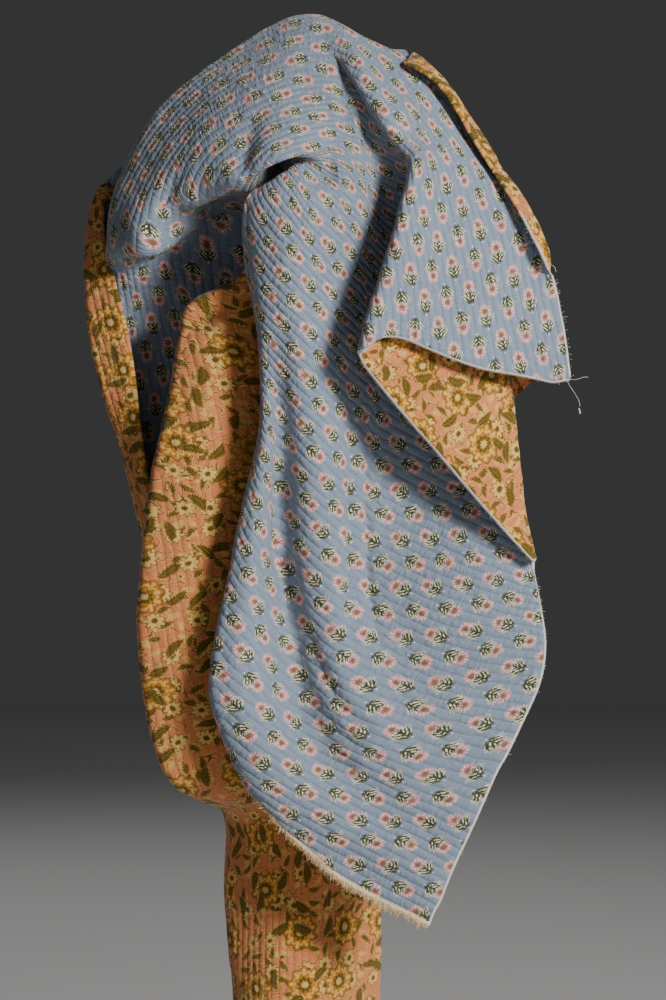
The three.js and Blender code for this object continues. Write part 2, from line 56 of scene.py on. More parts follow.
# The folds in their order across the cloth, as in the solid. round is the radius of the bend,
# apart the distance between the layers of a flat fold, steps the facets to the next fold. Each row
# has the columns station, right, back and up, in millimetres from the hang point.
FOLDS = [
    dict(name="rolled_edge", round=0, apart=0, steps=1, rows=[
        (0, 205, -56, -294), (1, 200, -58, -259), (2, 192, -64, -220), (3, 181, -82, -196),
        (5, 159, -73, -153), (5.5, 152, -70, -142), (7, 132, -57, -109), (9, 99, -42, -55),
        (9.6, 75, -34, -40), (9.8, 73, -6, -33), (10, 64, 24, -42), (11, 21, 29, -52),
        (12, -12, 42, -53), (14, -83, 50, -97), (15, -134, 46, -134), (15.5, -160, 40, -141),
        (16, -169, 29, -143), (17, -171, 22, -162), (18, -170, 13, -178), (19, -162, 3, -210),
        (20, -149, 0, -264), (21, -135, 3, -366), (22, -107, 30, -489), (23, -41, 40, -637),
        (26, -33, 43, -873),
    ]),
    dict(name="edge_turn", round=4, apart=10, steps=2, rows=[
        (0, 197, -58, -295), (1, 190, -61, -261), (2, 183, -66, -221), (3, 184, -72, -192),
        (5, 163, -62, -147), (6, 150, -54, -130), (7, 135, -40, -104), (9, 102, -27, -51),
        (9.6, 78, -13, -31), (10, 57, 6, -33), (11, 24, 27, -34), (12, -10, 40, -35),
        (13, -47, 48, -54), (14, -86, 48, -81), (15, -137, 45, -112), (16, -168, 42, -129),
        (17, -179, 38, -146), (19, -184, 19, -216), (20, -179, 16, -269), (21, -157, 21, -345),
        (22, -117, 40, -489), (23, -54, 50, -638), (26, -45, 53, -875),
    ]),
    dict(name="side", round=24, apart=0, steps=3, rows=[
        (0, 161, -74, -290), (1, 157, -75, -256), (2, 150, -77, -218), (3, 146, -75, -185),
        (5, 134, -62, -130), (6, 126, -54, -113), (8, 101, -37, -70), (9, 88, -27, -47),
        (9.6, 71, -14, -30), (10, 50, 3, -22), (11, 13, 21, -10), (12, -22, 30, -15),
        (13, -60, 38, -36), (14, -94, 38, -60), (15, -127, 37, -90), (16, -147, 38, -118),
        (17, -154, 27, -149), (17.6, -164, 24, -174), (18.2, -170, 19, -190), (19, -173, 16, -226),
        (20, -169, 19, -275), (21, -151, 27, -357), (22, -121, 46, -489), (23, -55, 64, -640),
        (26, -50, 67, -877),
    ]),
    dict(name="flap", round=48, apart=0, steps=3, rows=[
        (0, 125, -88, -285), (1, 121, -90, -249), (3, 116, -86, -176), (4, 112, -80, -146),
        (5, 107, -72, -121), (7, 90, -51, -81), (9, 71, -29, -43), (9.6, 61, -16, -28),
        (10, 41, -5, -14), (11, 3, 5, 7), (12, -34, 13, -1), (14, -105, 19, -48), (15, -134, 16, -76),
        (16, -156, 8, -119), (17, -167, 0, -158), (17.6, -167, -2, -184), (18.2, -166, 5, -196),
        (19, -164, 21, -230), (20, -159, 27, -279), (21, -146, 34, -369), (22, -119, 50, -489),
        (23, -56, 72, -640), (26, -49, 77, -879),
    ]),
    dict(name="flap_roll", round=27, apart=0, steps=2, rows=[
        (0, 58, -114, -257), (1, 72, -113, -234), (3, 85, -106, -170), (5, 89, -86, -121),
        (6, 81, -70, -101), (7, 72, -64, -82), (8, 61, -53, -64), (9, 48, -34, -42),
        (9.6, 35, -22, -23), (10, 17, -13, -5), (11, -6, -6, -3), (12, -36, 0, -15), (14, -101, 0, -63),
        (15, -126, -6, -95), (16, -142, -16, -132), (17, -151, -29, -168), (17.6, -152, -29, -189),
        (18.2, -152, -8, -199), (19, -149, 26, -230), (20, -142, 30, -279), (21, -125, 37, -369),
        (22, -101, 53, -489), (23, -46, 86, -642), (26, -43, 94, -882),
    ]),
    dict(name="flap_fold", round=11, apart=13, steps=3, rows=[
        (0, 36, -118, -282), (1, 39, -118, -266), (3, 60, -110, -198), (4, 69, -102, -165),
        (5, 78, -90, -127), (6, 71, -80, -111), (7, 60, -80, -92), (8, 49, -70, -72), (9, 35, -53, -46),
        (9.6, 24, -34, -29), (10, 13, -22, -18), (11, -10, -19, -17), (13, -71, -21, -56),
        (14, -96, -26, -84), (16, -128, -40, -145), (17, -132, -46, -173), (17.6, -132, -40, -193),
        (18.2, -131, -5, -189), (19, -127, 29, -230), (20, -117, 34, -279), (21, -101, 40, -369),
        (22, -81, 56, -489), (23, -25, 66, -640), (26, -23, 70, -878),
    ]),
    dict(name="lapel", round=48, apart=0, steps=4, rows=[
        (0, 93, -85, -344), (1, 113, -78, -331), (3, 116, -70, -265), (4, 114, -67, -224),
        (5, 115, -64, -182), (6, 94, -59, -134), (7, 68, -72, -105), (8, 50, -64, -84),
        (9, 36, -53, -59), (9.6, 25, -38, -44), (10, 12, -34, -37), (11, -14, -35, -37),
        (12, -45, -40, -57), (14, -89, -51, -105), (16, -108, -53, -145), (16.6, -110, -45, -156),
        (17, -109, -22, -166), (17.6, -107, -6, -179), (18.2, -105, 14, -176), (19, -99, 30, -230),
        (20, -88, 35, -279), (21, -72, 43, -369), (22, -56, 59, -490), (23, -9, 94, -642),
        (26, -7, 101, -883),
    ]),
    dict(name="right_fold", round=6, apart=11, steps=4, rows=[
        (0, 178, -58, -445), (1, 171, -54, -415), (3, 162, -46, -336), (4, 158, -43, -288),
        (5, 151, -40, -238), (6, 114, -46, -170), (7, 73, -62, -124), (8, 48, -58, -99),
        (9, 37, -56, -77), (9.6, 26, -51, -70), (10, 15, -51, -62), (11, -16, -51, -59),
        (12, -44, -58, -78), (14, -76, -66, -119), (15, -84, -64, -135), (16, -87, -58, -146),
        (16.6, -88, -48, -153), (17, -88, -13, -151), (18.2, -81, 18, -158), (19, -72, 32, -230),
        (20, -60, 37, -279), (21, -42, 45, -369), (22, -25, 62, -490), (23, 10, 67, -640),
        (26, 13, 72, -878),
    ]),
    dict(name="panel_right", round=32, apart=0, steps=4, rows=[
        (0, 188, -64, -520), (1, 143, -61, -493), (2, 107, -54, -458), (3, 93, -42, -410),
        (5, 81, -27, -305), (6, 77, -26, -253), (7, 67, -45, -200), (8, 54, -64, -156),
        (9, 38, -75, -128), (10, 16, -77, -114), (11, -5, -99, -123), (12, -23, -107, -131),
        (14, -48, -96, -140), (15, -56, -85, -142), (16, -62, -66, -143), (16.6, -62, -38, -142),
        (17, -60, -10, -139), (17.6, -56, 8, -141), (18.2, -52, 18, -149), (19, -41, 32, -230),
        (20, -27, 38, -279), (21, -6, 46, -369), (22, 10, 62, -490), (23, 31, 91, -642),
        (26, 33, 98, -883),
    ]),
    dict(name="trough", round=19, apart=10, steps=3, rows=[
        (0, 150, -64, -598), (1, 94, -61, -558), (2, 64, -53, -509), (3, 48, -45, -462),
        (4, 46, -42, -414), (6, 47, -42, -310), (7, 45, -51, -258), (8, 38, -66, -208),
        (9, 26, -82, -163), (9.6, 19, -85, -146), (10, 12, -78, -135), (11, -4, -80, -119),
        (12, -17, -72, -110), (13, -23, -58, -110), (14, -22, -34, -117), (16, -8, 16, -145),
        (17, 15, 29, -178), (18.2, 49, 32, -250), (19, 66, 30, -332), (20, 74, 30, -423),
        (21, 74, 32, -489), (22, 66, 37, -571), (23, 59, 50, -642), (26, 53, 54, -875),
    ]),
    dict(name="pipe", round=48, apart=0, steps=2, rows=[
        (0, 127, -66, -648), (1, 69, -67, -605), (2, 32, -70, -560), (3, 19, -70, -509),
        (4, 12, -70, -461), (5, 5, -75, -406), (6, 1, -85, -343), (7, -5, -93, -280),
        (9, -15, -99, -175), (10, -18, -94, -144), (11, -20, -78, -131), (12, -12, -54, -151),
        (13, -8, -42, -194), (14, -5, -35, -242), (15, 3, -32, -270), (16, 11, -30, -310),
        (18.2, 16, -27, -430), (20, 13, -24, -535), (22, 5, -14, -624), (22.5, 5, -6, -635),
        (23, 5, 2, -646), (26, 5, 4, -866),
    ]),
    dict(name="left_trough", round=19, apart=0, steps=2, rows=[
        (0, 114, -66, -675), (1, 53, -61, -630), (2, 8, -51, -587), (3, -9, -48, -538),
        (4, -16, -46, -492), (5, -22, -46, -438), (6, -24, -51, -374), (7, -27, -70, -311),
        (8, -34, -86, -248), (9, -37, -88, -194), (10, -37, -88, -153), (11, -30, -78, -139),
        (12, -21, -54, -156), (13, -22, -43, -200), (14, -37, -37, -244), (15, -35, -32, -270),
        (16, -34, -29, -310), (17, -35, -29, -362), (18.2, -38, -29, -430), (20, -40, -27, -535),
        (21, -38, -26, -587), (22, -35, -21, -625), (22.5, -34, -13, -636), (23, -30, -2, -646),
        (26, -28, 0, -865),
    ]),
    dict(name="left_bulge", round=32, apart=0, steps=2, rows=[
        (0, 106, -66, -694), (1, 37, -67, -653), (2, -12, -70, -614), (3, -42, -82, -575),
        (4, -51, -83, -532), (5, -48, -82, -469), (6, -40, -82, -398), (7, -36, -82, -331),
        (8, -42, -78, -264), (9, -47, -78, -202), (10, -48, -80, -157), (11, -39, -74, -144),
        (12, -28, -54, -161), (13, -40, -45, -206), (14, -68, -46, -241), (15, -71, -50, -270),
        (16, -75, -48, -310), (18.2, -86, -46, -430), (20, -88, -45, -534), (21, -80, -40, -582),
        (22, -72, -29, -621), (22.5, -64, -16, -632), (23, -50, 5, -646), (26, -47, 8, -867),
    ]),
    dict(name="left_fold", round=5, apart=10, steps=2, rows=[
        (0, 99, -64, -711), (2, -34, -64, -629), (3, -64, -69, -588), (4, -79, -70, -540),
        (5, -71, -69, -477), (6, -54, -67, -398), (7, -39, -67, -323), (8, -39, -62, -263),
        (9, -50, -64, -201), (10, -52, -74, -156), (11, -44, -71, -147), (12, -35, -53, -165),
        (13, -56, -43, -212), (14, -99, -35, -234), (15, -106, -32, -266), (16, -114, -32, -308),
        (17, -125, -34, -358), (18.2, -134, -35, -426), (19, -138, -35, -480), (20, -135, -34, -542),
        (21, -126, -30, -589), (22, -113, -24, -617), (22.5, -94, -5, -630), (23, -71, 27, -648),
        (24, -71, 32, -711), (25, -66, 34, -768), (26, -56, 35, -871),
    ]),
    dict(name="frayed_edge", round=0, apart=0, steps=0, rows=[
        (0, 92, -62, -727), (1, 19, -61, -688), (2, -39, -59, -631), (3, -55, -56, -608),
        (4, -55, -54, -549), (5, -46, -50, -478), (6, -35, -48, -398), (7, -24, -50, -322),
        (8, -17, -53, -263), (9, -24, -54, -201), (10, -40, -61, -163), (10.5, -47, -59, -161),
        (11, -50, -66, -155), (12, -43, -51, -172), (13, -52, -32, -220), (14, -78, -21, -248),
        (15, -84, -18, -273), (16, -92, -13, -313), (17, -103, -11, -362), (18.2, -111, -10, -426),
        (19, -113, -10, -483), (20, -108, -8, -544), (21, -99, -5, -589), (22, -86, 3, -611),
        (22.5, -70, 18, -625), (23, -67, 54, -649), (26, -52, 59, -876),
    ]),
]

FOLD_NAMES = [fold["name"] for fold in FOLDS]


def fold_line(rows, stations):
    """Points of one fold at the stations asked, on a smooth curve through its rows."""
    rows = np.array(rows, float)
    at = rows[:, 0]
    points = rows[:, 1:] * MM
    chord = np.diff(points, axis=0)
    spacing = np.sqrt(np.linalg.norm(chord, axis=1))
    slope = chord / spacing[:, None]
    inner = (slope[:-1] * spacing[1:, None] + slope[1:] * spacing[:-1, None])
    inner /= (spacing[:-1] + spacing[1:])[:, None]
    tangent = np.vstack([slope[:1], inner, slope[-1:]])
    stations = np.clip(stations, 0, LAST_STATION)
    i = np.clip(np.searchsorted(at, stations, side="right") - 1, 0, len(at) - 2)
    u = ((stations - at[i]) / (at[i + 1] - at[i]))[:, None]
    wide = spacing[i][:, None]
    return (
        (2 * u**3 - 3 * u**2 + 1) * points[i]
        + (u**3 - 2 * u**2 + u) * wide * tangent[i]
        + (3 * u**2 - 2 * u**3) * points[i + 1]
        + (u**3 - u**2) * wide * tangent[i + 1]
    )


def unit(v):
    return v / (np.linalg.norm(v, axis=-1, keepdims=True) + TINY)


def bend_points(start, corner, end, shares):
    u = np.asarray(shares)[:, None]
    return (1 - u) ** 2 * start + 2 * u * (1 - u) * corner + u**2 * end


def between(positions, known, points):
    """The points at some positions of a line, from the points at its known positions."""
    return np.stack([np.interp(positions, known, points[:, k]) for k in range(points.shape[1])], -1)


def distances(path):
    """How far along a path each of its points is."""
    return np.concatenate([[0], np.cumsum(np.linalg.norm(np.diff(path, axis=0), axis=1))])


def share_out(path, steps):
    """Points at equal distances along a path, without its first point."""
    path = np.array(path)
    reached = distances(path)
    return between(np.linspace(0, reached[-1], steps + 1)[1:], reached, path)


INNER_REACH = 0.5  # a bend takes at most this share of the cloth towards the next fold
EDGE_REACH = 0.9  # and this share towards a free edge
LOPSIDED = 2.5  # one side of a bend is at most this many times as long as the other
OPEN_BEND_POINTS = 12


def sideways(corner, neighbour, direction):
    arm = neighbour - corner
    return unit(arm - direction * (arm @ direction))


def cross_section(corners, directions):
    """One section of the sheet's middle layer, with each fold rounded."""
    last = len(FOLDS) - 1
    groups = []
    for i, corner in enumerate(corners):
        apart = FOLDS[i]["apart"] * MM
        if not apart:
            groups.append([corner])
            continue
        spread = unit(
            sideways(corner, corners[i - 1], directions[i])
            - sideways(corner, corners[i + 1], directions[i])
        ) * (apart / 2)
        groups.append([corner + spread, corner - spread])
    section = [corners[:1]]
    lead = [corners[0]]
    halfway = np.arange(1, 2 * FINER + 1) / (2 * FINER)
    for i in range(1, last):
        first, second = groups[i][0], groups[i][-1]
        before, after = groups[i - 1][-1], groups[i + 1][0]
        room_before = np.linalg.norm(first - before) * (INNER_REACH if i > 1 else EDGE_REACH)
        room_after = np.linalg.norm(second - after) * (INNER_REACH if i < last - 1 else EDGE_REACH)
        bend = FOLDS[i]["round"] * MM
        reach_before = min(bend, room_before)
        reach_after = min(bend, room_after, LOPSIDED * reach_before)
        reach_before = min(reach_before, LOPSIDED * reach_after)
        start = first + unit(before - first) * reach_before
        end = second + unit(after - second) * reach_after
        steps = FOLDS[i - 1]["steps"] * FINER
        if len(groups[i]) == 2:
            middle = (first + second) / 2
            section.append(share_out([*lead, start], steps))
            section.append(bend_points(start, first, middle, halfway))
            section.append(bend_points(middle, second, end, halfway))
            lead = [end]
        else:
            shares = np.linspace(0, 0.5, OPEN_BEND_POINTS)
            section.append(share_out([*lead, *bend_points(start, first, end, shares)], steps))
            lead = list(bend_points(start, first, end, shares + 0.5))
    section.append(share_out([*lead, corners[last]], FOLDS[last - 1]["steps"] * FINER))
    return np.vstack(section)


NUDGE = 0.05  # stations to either side of a point that give the way its fold runs


def middle_layer():
    """The middle layer as a grid of points: a row for each station, a column across the folds."""
    stations = np.linspace(0, LAST_STATION, int(LAST_STATION / STATION_STEP) * FINER + 1)
    lines, ahead, behind = (
        np.array([fold_line(fold["rows"], stations + by) for fold in FOLDS])
        for by in (0.0, NUDGE, -NUDGE)
    )
    directions = unit(ahead - behind)
    grid = [cross_section(lines[:, k], directions[:, k]) for k in range(len(stations))]
    return stations, np.array(grid)


def fold_columns():
    """The grid column on the crown of each fold."""
    columns = [0]
    at = 0
    for i in range(1, len(FOLDS)):
        at += FOLDS[i - 1]["steps"] * FINER
        if FOLDS[i]["apart"]:
            columns.append(at + 2 * FINER)
            at += 4 * FINER
        else:
            columns.append(at)
    return columns


# Where the cut hem isn't straight but rounded off at a fold's end, by how many stations and over
# how many columns of the grid.
HEM_TRIMS = [
    dict(fold="flap_fold", by=0.55, over=9),
    dict(fold="right_fold", by=0.3, over=7),
]
TRIM_REACH = 3  # stations that share a trim


def trimmed(stations, grid):
    """The grid with its hem rounded off at the ends of two folds."""
    columns = np.arange(grid.shape[1])
    by = np.zeros(len(columns))
    for trim in HEM_TRIMS:
        middle = fold_columns()[FOLD_NAMES.index(trim["fold"])]
        by += trim["by"] * np.exp(-(((columns - middle) / trim["over"]) ** 2))
    share = np.clip(1 - stations / TRIM_REACH, 0, 1)
    return np.stack([between(stations + by[j] * share, stations, grid[:, j]) for j in columns], 1)


def slopes(grid, axis):
    """Central differences along one direction of the grid."""
    padded = np.concatenate([np.take(grid, [0], axis), grid, np.take(grid, [-1], axis)], axis)
    count = grid.shape[axis]
    return np.take(padded, range(2, count + 2), axis) - np.take(padded, range(count), axis)


def square_to(grid):
    """The direction square to the sheet at each point, out of its peach side."""
    return unit(np.cross(slopes(grid, 1), slopes(grid, 0)))


def sharpness(grid, axis):
    """How sharply the grid's lines bend along one direction, as one over a radius."""
    lines = np.moveaxis(grid, axis, 0)
    steps = np.diff(lines, axis=0)
    length = np.linalg.norm(steps, axis=2) + TINY_LENGTH
    ways = steps / length[..., None]
    bend = np.zeros(lines.shape[:2])
    bend[1:-1] = np.linalg.norm(np.diff(ways, axis=0), axis=2) / ((length[1:] + length[:-1]) / 2)
    return np.moveaxis(bend, 0, axis)


def average_of_neighbours(values):
    padded = np.pad(values, 1, mode="edge")
    return (padded[:-2, 1:-1] + padded[2:, 1:-1] + padded[1:-1, :-2] + padded[1:-1, 2:]) / 4


def half_thickness(grid):
    """Half the sheet's thickness at each point, less where a bend presses the wadding flat."""
    bend = np.maximum(sharpness(grid, 0), sharpness(grid, 1))
    half = np.minimum(THICKNESS / 2, PRESSED_SHARE / np.maximum(bend, SLIGHTEST_BEND))
    for _ in range(PRESS_PASSES):
        half = np.minimum(half, (half + average_of_neighbours(half)) / 2)
    return half


# How the print and the quilting lie on the cloth: the angle in degrees from each fold's own run
# to the print's long direction, at some stations and folds.
SLANT_FOLDS = ["rolled_edge", "flap", "flap_fold", "lapel", "right_fold", "panel_right", "trough",
               "pipe", "left_bulge", "frayed_edge"]
SLANT = {
    0: (0, -5, -15, -22, -58, -38, -20, -10, -3, 0),
    2: (0, -5, -18, -42, -62, -50, -43, -38, -10, -4),
    4: (0, 0, -14, -42, -62, -64, -67, -43, -28, -20),
    6: (10, 10, 0, -30, -55, -62, -69, -43, -38, -34),
    8: (5, 5, 0, -12, -34, -50, -52, -42, -42, -42),
    10: (0, 0, 0, 2, -14, -25, -40, -42, -44, -45),
    12: (0, 5, 20, 30, 38, 20, -5, -20, -30, -30),
    14: (0, 5, 12, 22, 30, 20, 0, -5, -8, -8),
    16: (0, 4, 2, 8, 15, 10, 0, 0, 0, 0),
    18: (0, 0, 4, 6, 6, 4, 0, 0, 3, 3),
    22: (0, 0, 0, 0, 0, 0, 0, 0, 0, 0),
    26: (0, 0, 0, 0, 0, 0, 0, 0, 0, 0),
}
SLANT_HOLD = 0.35  # how firmly the slant is kept against an even fit of the flat cloth
FIT_ROUNDS = 16
SOLVER_STEPS = 60


def print_slant(stations, column_count):
    """The slant in radians at each point of the grid."""
    columns = fold_columns()
    at_columns = [columns[FOLD_NAMES.index(name)] for name in SLANT_FOLDS]
    everywhere = [np.interp(np.arange(column_count), at_columns, row) for row in SLANT.values()]
    return np.radians(between(stations, list(SLANT), np.array(everywhere)))


def cloth_ways(stations, coarse, column_count):
    """The directions across and along the print at each point of the coarse grid."""
    slant = print_slant(stations, column_count)[::FINER, ::FINER, None]
    to_hem = unit(-slopes(coarse, 0))
    over = np.cross(to_hem, square_to(coarse))
    over *= np.sign((over * slopes(coarse, 1)).sum(-1, keepdims=True))
    along = np.cos(slant) * to_hem + np.sin(slant) * over
    across = -np.sin(slant) * to_hem + np.cos(slant) * over
    return across.reshape(-1, 3), along.reshape(-1, 3)


def shared_edges(rows, columns):
    """The facets' edges as pairs of grid slices, with the number of facets at each edge."""
    down = np.full((rows - 1, columns, 1), 2.0)
    down[:, [0, -1]] = 1.0
    over = np.full((rows, columns - 1, 1), 2.0)
    over[[0, -1]] = 1.0
    aslant = np.full((rows - 1, columns - 1, 1), 2.0)
    upper, lower = np.s_[:-1, :], np.s_[1:, :]
    left, right = np.s_[:, :-1], np.s_[:, 1:]
    return [(upper, lower, down), (left, right, over), (np.s_[:-1, :-1], np.s_[1:, 1:], aslant)]


def spread_out(values, ties):
    """What the edges' differences add up to at each point."""
    total = np.zeros_like(values)
    for here, there, weight in ties:
        difference = (values[here] - values[there]) * weight
        total[here] += difference
        total[there] -= difference
    return total


def settle(values, wanted, ties):
    """Points whose differences along the edges fit what is wanted, by conjugate gradients."""
    left = wanted - spread_out(values, ties)
    way = left.copy()
    size = (left**2).sum()
    for _ in range(SOLVER_STEPS):
        pull = spread_out(way, ties)
        step = size / ((way * pull).sum() + TINY_SUM)
        values = values + step * way
        left = left - step * pull
        new_size = (left**2).sum()
        way = left + (new_size / (size + TINY_SUM)) * way
        size = new_size
    return values


def grid_corners(rows, columns):
    """The four points round each cell of a grid, by number, and the numbers of all its points."""
    index = np.arange(rows * columns).reshape(rows, columns)
    cells = (index[:-1, :-1], index[:-1, 1:], index[1:, 1:], index[1:, :-1])
    return [corner.ravel() for corner in cells], index


def lay_print(stations, grid):
    """How far across and along the flat cloth each point lies, in metres. The flat cloth is fitted
    to the draped one: every facet is turned as a whole, so that it keeps its shape and size as well
    as the folds allow, and its slant where it can."""
    coarse = grid[::FINER, ::FINER]
    rows, columns = coarse.shape[:2]
    across, along = cloth_ways(stations, coarse, grid.shape[1])
    (a, b, c, d), _ = grid_corners(rows, columns)
    corners = np.vstack([np.stack([a, b, c], 1), np.stack([a, c, d], 1)])
    points = coarse.reshape(-1, 3)
    starts, ends = corners, np.roll(corners, -1, axis=1)
    edges = points[ends] - points[starts]
    way_across = unit(across[corners].mean(1))[:, None]
    way_along = unit(along[corners].mean(1))[:, None]
    flat = np.stack([(edges * way_across).sum(-1), (edges * way_along).sum(-1)], -1)
    length = np.linalg.norm(edges, axis=-1, keepdims=True)
    flat *= length / (np.linalg.norm(flat, axis=-1, keepdims=True) + TINY_LENGTH)
    ties = shared_edges(rows, columns)
    hold = SLANT_HOLD * (flat**2).sum((1, 2))
    turn = np.zeros(len(corners))
    laid = np.zeros((rows, columns, 2))
    for _ in range(FIT_ROUNDS):
        cos, sin = np.cos(turn)[:, None], np.sin(turn)[:, None]
        turned = np.stack([cos * flat[..., 0] - sin * flat[..., 1],
                           sin * flat[..., 0] + cos * flat[..., 1]], -1)
        wanted = np.zeros((rows * columns, 2))
        np.add.at(wanted, ends, turned)
        np.add.at(wanted, starts, -turned)
        laid = settle(laid, wanted.reshape(rows, columns, 2), ties)
        flat_laid = laid.reshape(-1, 2)
        now = flat_laid[ends] - flat_laid[starts]
        straight = (now * flat).sum((1, 2)) + hold
        skewed = (now[..., 1] * flat[..., 0] - now[..., 0] * flat[..., 1]).sum(1)
        turn = np.arctan2(skewed, straight)
    fine_rows = np.linspace(0, rows - 1, grid.shape[0])
    fine_columns = np.linspace(0, columns - 1, grid.shape[1])
    wide = np.array([between(fine_columns, range(columns), row) for row in laid])
    return np.stack([between(fine_rows, range(rows), wide[:, j]) for j in range(grid.shape[1])], 1)


# The main creases, each a soft groove in the blue side, or in the peach side where deep is below
# zero, along a line of stations and fold numbers. Millimetres.
CREASES = [
    dict(name="beside_pipe", deep=10.5, wide=8, line=[
        (7.2, 11.1), (6, 11.12), (5, 11), (4, 10.95), (2.6, 10.9), (1, 10.7)]),
    dict(name="pipe_edge", deep=5, wide=6, line=[
        (6.4, 9.4), (5.2, 9.38), (4.2, 9.35), (3.2, 9.5), (2.4, 9.7)]),
    dict(name="pleat_right", deep=4, wide=4, line=[(5.6, 9.15), (4.1, 9.05), (3, 9.05), (2, 9.2)]),
    dict(name="fan_upper", deep=5, wide=4.5, line=[(3.9, 10.6), (3, 10.38), (2.1, 10.1), (1.4, 9.85)]),
    dict(name="fan_lower", deep=4, wide=4, line=[(2.9, 10.75), (2.2, 10.5), (1.6, 10.3), (1, 10.1)]),
    dict(name="low_left", deep=5, wide=6, line=[(4.4, 11.45), (3.4, 11.3), (2.4, 11.2), (1.6, 11.1)]),
    dict(name="flap_top", deep=5, wide=6, line=[(8.8, 4.5), (7.6, 4.6), (6.2, 4.6), (5.2, 4.5)]),
    dict(name="flap_middle", deep=3, wide=14, line=[(5.2, 3.6), (3.4, 3.5), (2, 3.4), (0, 3.3)]),
    dict(name="lobe", deep=6, wide=8, line=[(15.2, 5.9), (16, 5.4), (16.4, 5.4), (16.4, 6.4)]),
    dict(name="hood", deep=4, wide=9, line=[(14.4, 8), (13.2, 7.6), (12, 7.2)]),
    dict(name="roll", deep=-9, wide=4.5, line=[
        (14.7, 12.6), (14.5, 12.4), (14.2, 12.15), (13.8, 12)]),
]
CREASE_POINTS = 40
CREASE_END = 0.15  # a crease's depth is a sine from here to as far before half a turn
CREASE_REACH = 0.9  # a crease stays within this many folds of its line
# The unevenness of hanging cloth and the small puckers: the size of the lumps and their depth.
UNEVENNESS = [(45 * MM, 1.6 * MM), (14 * MM, 0.7 * MM)]


def crease_line(crease, stations, grid, fold_numbers):
    """A crease's points on the sheet and their fold numbers."""
    knots = np.array(crease["line"], float)
    station, number = between(np.linspace(0, len(knots) - 1, CREASE_POINTS), range(len(knots)), knots).T
    rows = np.clip(np.searchsorted(stations, station), 0, len(stations) - 1)
    columns = np.clip(np.searchsorted(fold_numbers, number), 0, len(fold_numbers) - 1)
    return grid[rows, columns], number


def crumpled(stations, grid, laid):
    """The sheet with its main creases and its small unevenness."""
    fold_numbers = np.interp(np.arange(grid.shape[1]), fold_columns(), range(len(FOLDS)))
    depths = np.sin(np.linspace(CREASE_END, math.pi - CREASE_END, CREASE_POINTS))
    push = np.zeros(grid.shape[:2])
    for crease in CREASES:
        line, number = crease_line(crease, stations, grid, fold_numbers)
        away = np.linalg.norm(grid[:, :, None] - line, axis=-1)
        nearest = away.argmin(axis=2)
        spread = np.exp(-((away.min(axis=2) / (crease["wide"] * MM)) ** 2))
        beside = np.abs(fold_numbers[None, :] - number[nearest]) < CREASE_REACH
        push += crease["deep"] * MM * depths[nearest] * beside * spread
    for size, depth in UNEVENNESS:
        wave = [[noise.noise((u / size, v / size, size / MM)) for u, v in row] for row in laid]
        push += depth * np.array(wave)
    return grid + square_to(grid) * push[..., None]


class Wire:
    """A number inside a material, so that a pattern is written as ordinary arithmetic."""

    def __init__(self, pattern, socket):
        self.pattern, self.socket = pattern, socket

    def work(self, operation, *others, clamp=False):
        inputs = dict(enumerate((self, *others)))
        node = self.pattern.node("Math", inputs, operation=operation, use_clamp=clamp)
        return Wire(self.pattern, node.outputs[0])

    def __add__(self, other):
        return self.work("ADD", other)

    def __sub__(self, other):
        return self.work("SUBTRACT", other)

    def __mul__(self, other):
        return self.work("MULTIPLY", other)

    def __truediv__(self, other):
        return self.work("DIVIDE", other)

    def times_plus(self, factor, more, clamp=False):
        return self.work("MULTIPLY_ADD", factor, more, clamp=clamp)

    def under(self, edge, soft):
        """1 well under the edge, 0 well over it, and a soft step between."""
        return self.times_plus(-1.0 / soft, edge / soft + 0.5, clamp=True)

    def over(self, edge, soft):
        return self.times_plus(1.0 / soft, 0.5 - edge / soft, clamp=True)


def length_of(x, y):
    return (x * x + y * y).work("SQRT")


